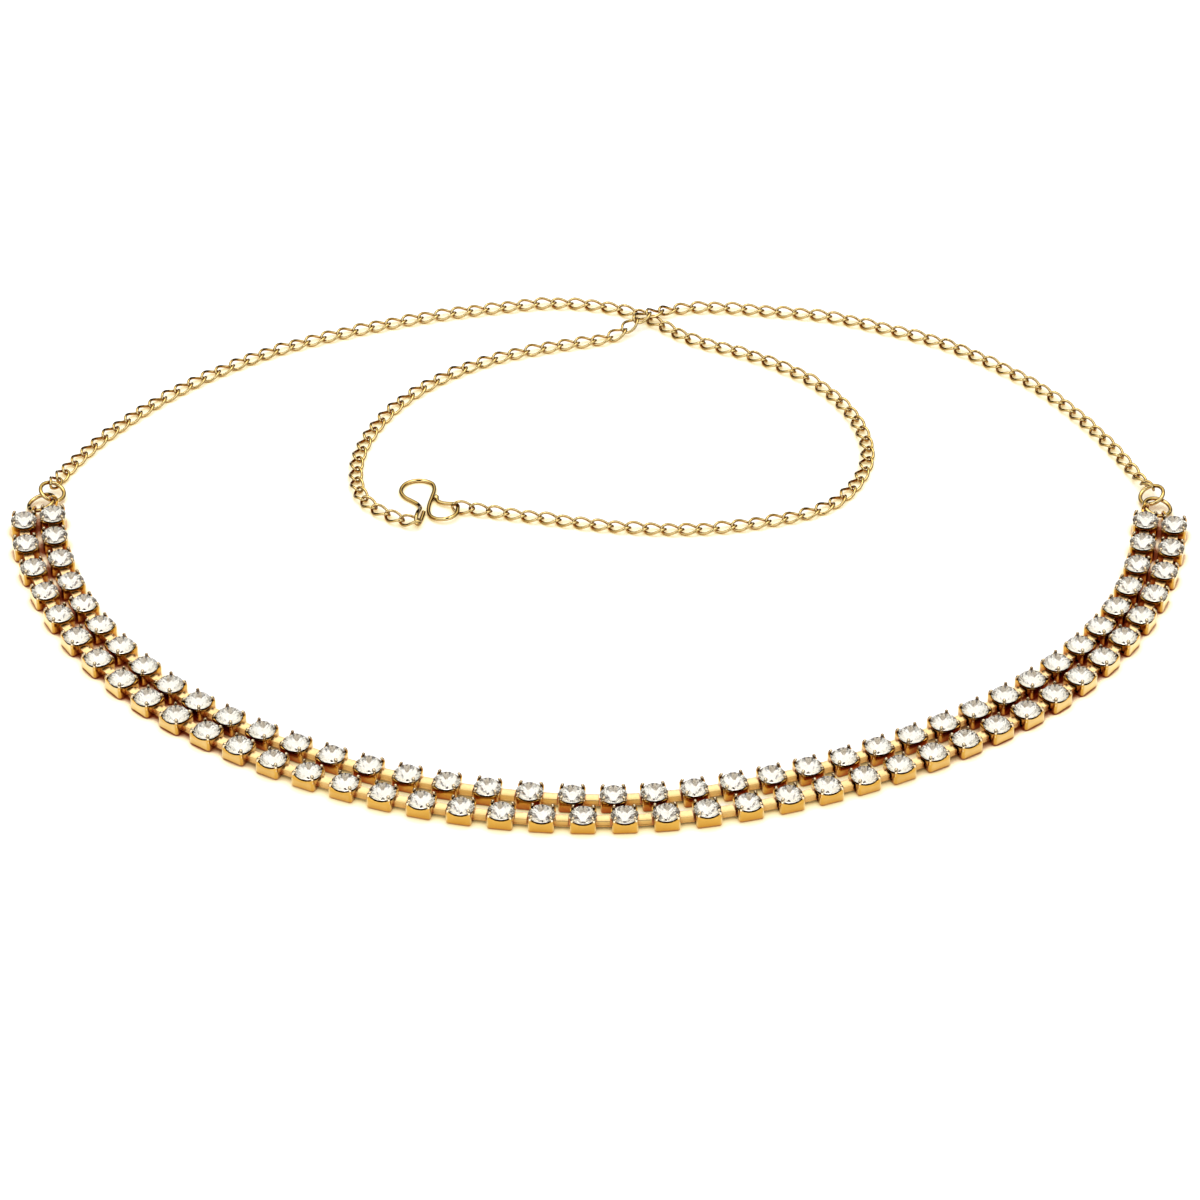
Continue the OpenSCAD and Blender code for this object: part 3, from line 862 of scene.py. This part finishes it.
def make_row(name, route, count, first_end, last_end):
    frames = row_frames(route, count)
    plain, slotted, stone = cup_shell(False), cup_shell(True), stone_shell()
    parts = []
    for k, (place, link) in enumerate(frames):
        parts.append((slotted if k else plain, place))
        if link:
            turn, pitch = link
            parts.append((connector_shell(pitch), turned(place, "Z", turn)))
    parts.append((end_loop_shell(first_end), turned(frames[0][0], "Z", 180)))
    parts.append((end_loop_shell(last_end), frames[-1][0]))
    cups = Shell()
    cups.join(parts)
    piece = make_piece(name + "_cup_row", cups, CUP_LOOKS, CUP_CREASE)
    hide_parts(name + "_cups")
    stones = Shell()
    stones.join([(stone, place) for place, link in frames])
    piece = make_piece(name + "_stone_row", stones, STONE_LOOKS, STONE_CREASE, FOIL)
    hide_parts(name + "_stones")


def make_ring(name, radius, placed):
    centre, (about_x, about_y), joint = placed
    place = turned(turned(moved(*centre), "Y", about_y), "X", about_x)
    ring = ring_shell(radius, RING_WIRE_R, RING_STEPS, WIRE_SIDES, RING_GAP)
    whole = Shell()
    whole.join([(ring, turned(place, "Z", joint))])
    piece = make_piece(name + "_wire", whole, [CHAIN_GOLD], WIRE_CREASE)
    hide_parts(name)


def make_chain(name, start, route, end, rolls):
    link = link_shell()
    links = Shell()
    links.join([(link, place) for place in chain_places(link, chain_joints(start, route, end), rolls)])
    piece = make_piece(name + "_links", links, [CHAIN_GOLD], LINK_CREASE)
    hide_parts(name)


def make_hook():
    """Bent wire with a plain first end and a round bead at the other."""
    wire = smooth_route(HOOK_ROUTE, HOOK_STEPS, RING_WIRE_R)
    way = unit(wire[-1] - wire[-2])
    centre = wire[-1] + way * HOOK_BEAD_R
    sweep = BEAD_TO - BEAD_FROM
    angles = [math.radians(BEAD_FROM + sweep * i / BEAD_STEPS) for i in range(BEAD_STEPS + 1)]
    line = list(wire[:-1]) + [centre + way * HOOK_BEAD_R * math.sin(a) for a in angles]
    radii = [RING_WIRE_R] * (len(wire) - 1) + [HOOK_BEAD_R * math.cos(a) for a in angles]
    shell = Shell()
    shell.add(*tube(line, radii, WIRE_SIDES))
    piece = make_piece("hook_wire", shell, [CHAIN_GOLD], WIRE_CREASE)
    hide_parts("s_hook")


# Stage
def make_camera():
    data = bpy.data.cameras.new("camera")
    data.lens = CAMERA_LENS
    data.sensor_width = CAMERA_SENSOR
    data.clip_end = CAMERA_REACH
    camera = new_object("camera", data)
    camera.location = CAMERA_PLACE
    camera.rotation_euler = (math.radians(CAMERA_TILT), 0, 0)
    bpy.context.scene.camera = camera


def floor_material():
    """Pale floor with painted shade, painted warm bounce light and a painted glow close to the gold."""
    look = Look("floor")
    place = look.place()
    sky = look.open_sky(FLOOR_SKY_REACH)
    spot = look.nodes.new("ShaderNodeSeparateXYZ")
    look.fill(spot, {"Vector": place})
    aside = look.rescale(look.calculate("ABSOLUTE", spot.outputs["X"]), FLANK_X)
    flank = look.calculate("MULTIPLY", aside, look.rescale(spot.outputs["Y"], FLANK_Y))
    # Painted shade where little open sky is within reach, and painted warm bounce light from the gold around
    # it.
    painted_shade_and_bounce = look.mix("MIX", flank, look.ramp(sky, FRONT_PAINTED_SHADE_AND_BOUNCE), look.ramp(sky, FLANK_PAINTED_SHADE_AND_BOUNCE))
    # Painted glow: the floor gives off warm light near the gold, as if bounced from it, though it is no lamp.
    painted_bounce_glow = look.mix("MIX", flank, look.ramp(sky, FRONT_PAINTED_BOUNCE_GLOW), look.ramp(sky, FLANK_PAINTED_BOUNCE_GLOW))
    tone = look.cloudy(place, FLOOR_CLOUD, FLOOR_DARK, FLOOR_PALE)
    look.fill(look.shader, {"Base Color": look.mix("MULTIPLY", 1.0, tone, painted_shade_and_bounce),
                            "Emission Color": painted_bounce_glow,
                            "Emission Strength": 1.0,
                            "Roughness": MATT,
                            "Specular IOR Level": FLOOR_SHINE})
    return look.material


def make_floor():
    mesh = bpy.data.meshes.new("floor")
    mesh.from_pydata([(-FLOOR_HALF, -FLOOR_HALF, 0), (FLOOR_HALF, -FLOOR_HALF, 0),
                      (FLOOR_HALF, FLOOR_HALF, 0), (-FLOOR_HALF, FLOOR_HALF, 0)], [], [(0, 1, 2, 3)])
    mesh.materials.append(floor_material())
    floor = new_object("floor", mesh)
    floor.location.z = FLOOR_Z


def make_softbox(name, place, size, power):
    """Rectangular light that looks at the origin."""
    data = bpy.data.lights.new(name, "AREA")
    data.shape = "RECTANGLE"
    data.size, data.size_y = size
    data.energy = power
    light = new_object(name, data)
    light.location = place
    x, y, z = place
    light.rotation_euler = (math.atan2(math.hypot(x, y), z), 0, math.atan2(-y, -x) - math.pi / 2)


def dark_card_shape():
    """Points and faces of a low card all round."""
    points = []
    for i in range(DARK_CARD_STEPS):
        turn = 360 * i / DARK_CARD_STEPS
        points += [polar(DARK_CARD_R, turn, DARK_CARD_LOW), polar(DARK_CARD_R, turn, DARK_CARD_HIGH)]
    return points, lattice(DARK_CARD_STEPS, 2, closed_rows=True, closed_columns=False)


def arch_shape(half, low, high):
    """Points and faces of an arch behind the camera, from one height in degrees to another."""
    points = []
    for i in range(ARCH_STEPS + 1):
        angle = math.radians(low + (high - low) * i / ARCH_STEPS)
        y, z = -ARCH_R * math.cos(angle), ARCH_R * math.sin(angle)
        points += [(-half, y, z), (half, y, z)]
    return points, lattice(ARCH_STEPS + 1, 2, closed_columns=False)


def make_card(name, shape, colour, for_stones):
    """Card that shows only through the stones' glass, or else only as a reflection."""
    points, faces = shape
    mesh = bpy.data.meshes.new(name)
    mesh.from_pydata(points, [], faces)
    card = new_object(name, mesh)
    look = Look(name)
    look.fill(look.shader, {"Base Color": colour, "Roughness": MATT})
    mesh.materials.append(look.material)
    card.visible_camera = False
    card.visible_diffuse = False
    card.visible_glossy = not for_stones
    card.visible_transmission = for_stones
    card.visible_shadow = False


def make_surroundings():
    world = bpy.data.worlds.new("surroundings")
    world.use_nodes = True
    background = world.node_tree.nodes["Background"]
    background.inputs["Color"].default_value = (*WHITE, 1)
    background.inputs["Strength"].default_value = SURROUNDINGS_LIGHT
    bpy.context.scene.world = world
    bpy.context.scene.view_settings.view_transform = "Standard"


make_camera()
make_row("outer", OUTER_ROUTE, OUTER_COUNT, LEFT_OUTER_END, RIGHT_OUTER_END)
make_row("inner", INNER_ROUTE, INNER_COUNT, LEFT_INNER_END, RIGHT_INNER_END)
make_ring("left_joining_ring", JOINING_R, LEFT_JOINING)
make_ring("right_joining_ring", JOINING_R, RIGHT_JOINING)
make_ring("left_chain_ring", LINKING_R, LEFT_LINKING)
make_ring("right_chain_ring", LINKING_R, RIGHT_LINKING)
make_chain("left_chain", LEFT_START, LEFT_ROUTE, LEFT_END, LEFT_ROLLS)
make_chain("right_chain", RIGHT_START, RIGHT_ROUTE, RIGHT_END, RIGHT_ROLLS)
make_hook()

make_floor()
make_softbox("back_softbox", place=(0, 1.3, 1.05), size=(2.2, 0.6), power=3.6)
make_softbox("top_softbox", place=(0, 0.25, 1.7), size=(1.1, 1.1), power=10)
make_card("dark_card", dark_card_shape(), colour=(0.02, 0.015, 0.01), for_stones=False)
make_card("stone_card", arch_shape(half=1.5, low=8, high=40), colour=(0.23, 0.165, 0.09), for_stones=True)
make_card("wire_card", arch_shape(half=0.3, low=8, high=100), colour=(0.01, 0.008, 0.006), for_stones=False)
make_surroundings()
